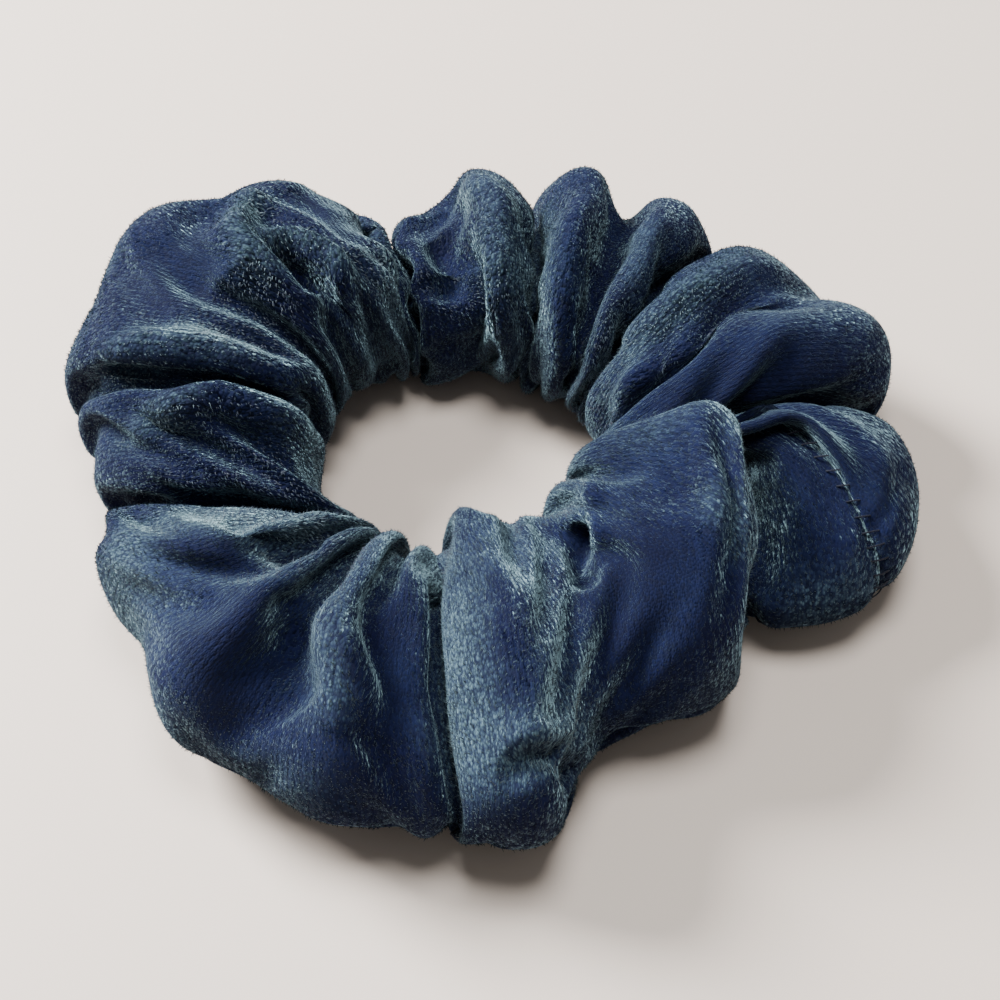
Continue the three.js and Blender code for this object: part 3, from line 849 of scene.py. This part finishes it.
def elastic_material():
    """Braided elastic: yarns crossing over rubber cores."""
    k = Nodes("elastic")
    uv = k.node("ShaderNodeUVMap", uv_map="cloth")
    at = k.vector("MULTIPLY", uv, (12, 24, 1))
    one = k.node("ShaderNodeTexWave", {"Vector": at, "Scale": 1.0}, out=1, bands_direction="DIAGONAL")
    back = k.vector("MULTIPLY", at, (1, -1, 1))
    two = k.node("ShaderNodeTexWave", {"Vector": back, "Scale": 1.0}, out=1, bands_direction="DIAGONAL")
    braid = k.math("MAXIMUM", one, two)
    k.set(k.shader, "Normal", k.node("ShaderNodeBump", {"Height": braid, "Strength": 0.8, "Distance": 0.0002}))
    k.set(k.shader, "Base Color", k.blend(braid, (0.004, 0.004, 0.005, 1), (0.022, 0.022, 0.026, 1)))
    k.set(k.shader, "Roughness", 0.7)
    k.set(k.shader, "Sheen Weight", 0.2)
    return k.material


# ---------------------------------------------------------------- stage, light and camera
def area_light(name, place, target, size, watts):
    data = bpy.data.lights.new(name, "AREA")
    data.shape = "DISK"
    data.size = size
    data.energy = watts
    lamp = placed(name, data)
    lamp.location = place
    lamp.rotation_euler = (Vector(target) - Vector(place)).to_track_quat("-Z", "Y").to_euler()


# ---------------------------------------------------------------- the scrunchie
cloth, cloth_length = gathered_tube()
cloth = settle(cloth, SETTLING)
cloth = smoothed(cloth, 0.4, 20)
cloth = finer(finer(cloth, 0), 1)
cloth = smoothed(creased(cloth), 0.4, 2)
sheet, along, around = sewn_sheet(cloth)
sheet[..., 2] = np.maximum(sheet[..., 2], 0.05)
facing = np.cross(np.gradient(sheet, axis=0), np.gradient(sheet, axis=1))
facing /= np.linalg.norm(facing, axis=-1, keepdims=True) + 1e-9
# The patches of painted sheen (+) and painted shade (-), faded out near the floor; they also tilt the pile and stand
# its tufts.
brushing_and_painted_sheen = np.clip(drawn(sheet, BRUSHED_AND_PAINTED_SHEEN), -1, 1.2) * np.clip((sheet[..., 2] - 2) / 5, 0, 1)
leaning = pile_lean(sheet, along, around)

velvet = sheet_mesh("velvet_sleeve", sheet, along, around)
# The patches of painted sheen and painted shade, also read for the pile's tilt.
pile_and_sheen_layer = velvet.data.attributes.new("brushing_and_painted_sheen", "FLOAT", "POINT")
pile_and_sheen_layer.data.foreach_set("value", brushing_and_painted_sheen.astype(np.float32).ravel())
pile = velvet.data.attributes.new("pile", "FLOAT_VECTOR", "POINT")
pile.data.foreach_set("vector", leaning.astype(np.float32).ravel())
tufts = pile_tufts("velvet_pile", sheet, facing, leaning, along, around, brushing_and_painted_sheen)

closing_paths = closing_stitches(sheet, facing)
closing = swept("closing_seam_stitches", closing_paths, [round_section(p, CLOSING_THREAD) for p in closing_paths])
seam_path = seam_line(sheet, facing)
seam = swept("long_seam_stitches", [seam_path], [round_section(seam_path, LONG_THREAD)])
band_path = elastic_path(cloth)
band = swept("elastic_loop", [band_path], [tape_section(band_path, ELASTIC_WIDTH, ELASTIC_THICKNESS)])
lap_path = lap_zigzag(band_path)
lap = swept("elastic_zigzag", [lap_path], [round_section(lap_path, LAP_THREAD)])

velvet.data.materials.append(velvet_material())
tufts.data.materials.append(tuft_material())
band.data.materials.append(elastic_material())
sewing_thread = thread_material("sewing_thread", (0.003, 0.005, 0.018))
for piece in (closing, seam, lap):
    piece.data.materials.append(sewing_thread)

for piece in (velvet, tufts, seam, band, closing):
    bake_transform(piece)
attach(lap, "left_half")
turned_in = ("long_seam_allowance_left", "long_seam_allowance_right", "closing_seam_allowance")
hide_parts("velvet_sleeve_left", "velvet_sleeve_right", *turned_in)
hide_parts("closing_seam_thread")
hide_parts("long_seam_thread_left", "long_seam_thread_right")
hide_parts("elastic_band")
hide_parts("elastic_lap_stitches")

# ---------------------------------------------------------------- the set
floor_mesh = bpy.data.meshes.new("floor")
floor_mesh.from_pydata([(-2, -2, 0), (2, -2, 0), (2, 2, 0), (-2, 2, 0)], [], [(0, 1, 2, 3)])
floor = placed("floor", floor_mesh)
paper = bpy.data.materials.new("paper")
paper.use_nodes = True
paper.node_tree.nodes["Principled BSDF"].inputs["Base Color"].default_value = (0.72, 0.62, 0.54, 1)
floor.data.materials.append(paper)

area_light("window", (-0.48, 0.30, 0.44), (0, 0, 0.01), 0.34, 20)
area_light("overhead", (0.05, 0.10, 0.9), (0, 0, 0.01), 0.4, 8)
world = bpy.data.worlds.new("room")
world.use_nodes = True
world.node_tree.nodes["Background"].inputs[0].default_value = (1, 0.97, 0.94, 1)
world.node_tree.nodes["Background"].inputs[1].default_value = 0.22
bpy.context.scene.world = world

camera_data = bpy.data.cameras.new("camera")
camera_data.sensor_width = 36
camera_data.lens = 36 * CAMERA_DISTANCE / FIELD_WIDTH
camera_data.clip_start = 0.01
camera = placed("camera", camera_data)
away = Vector((0, -math.cos(CAMERA_ELEVATION), math.sin(CAMERA_ELEVATION)))
camera.location = CAMERA_TARGET + CAMERA_DISTANCE * away
camera.rotation_euler = (CAMERA_TARGET - camera.location).to_track_quat("-Z", "Y").to_euler()
bpy.context.scene.camera = camera
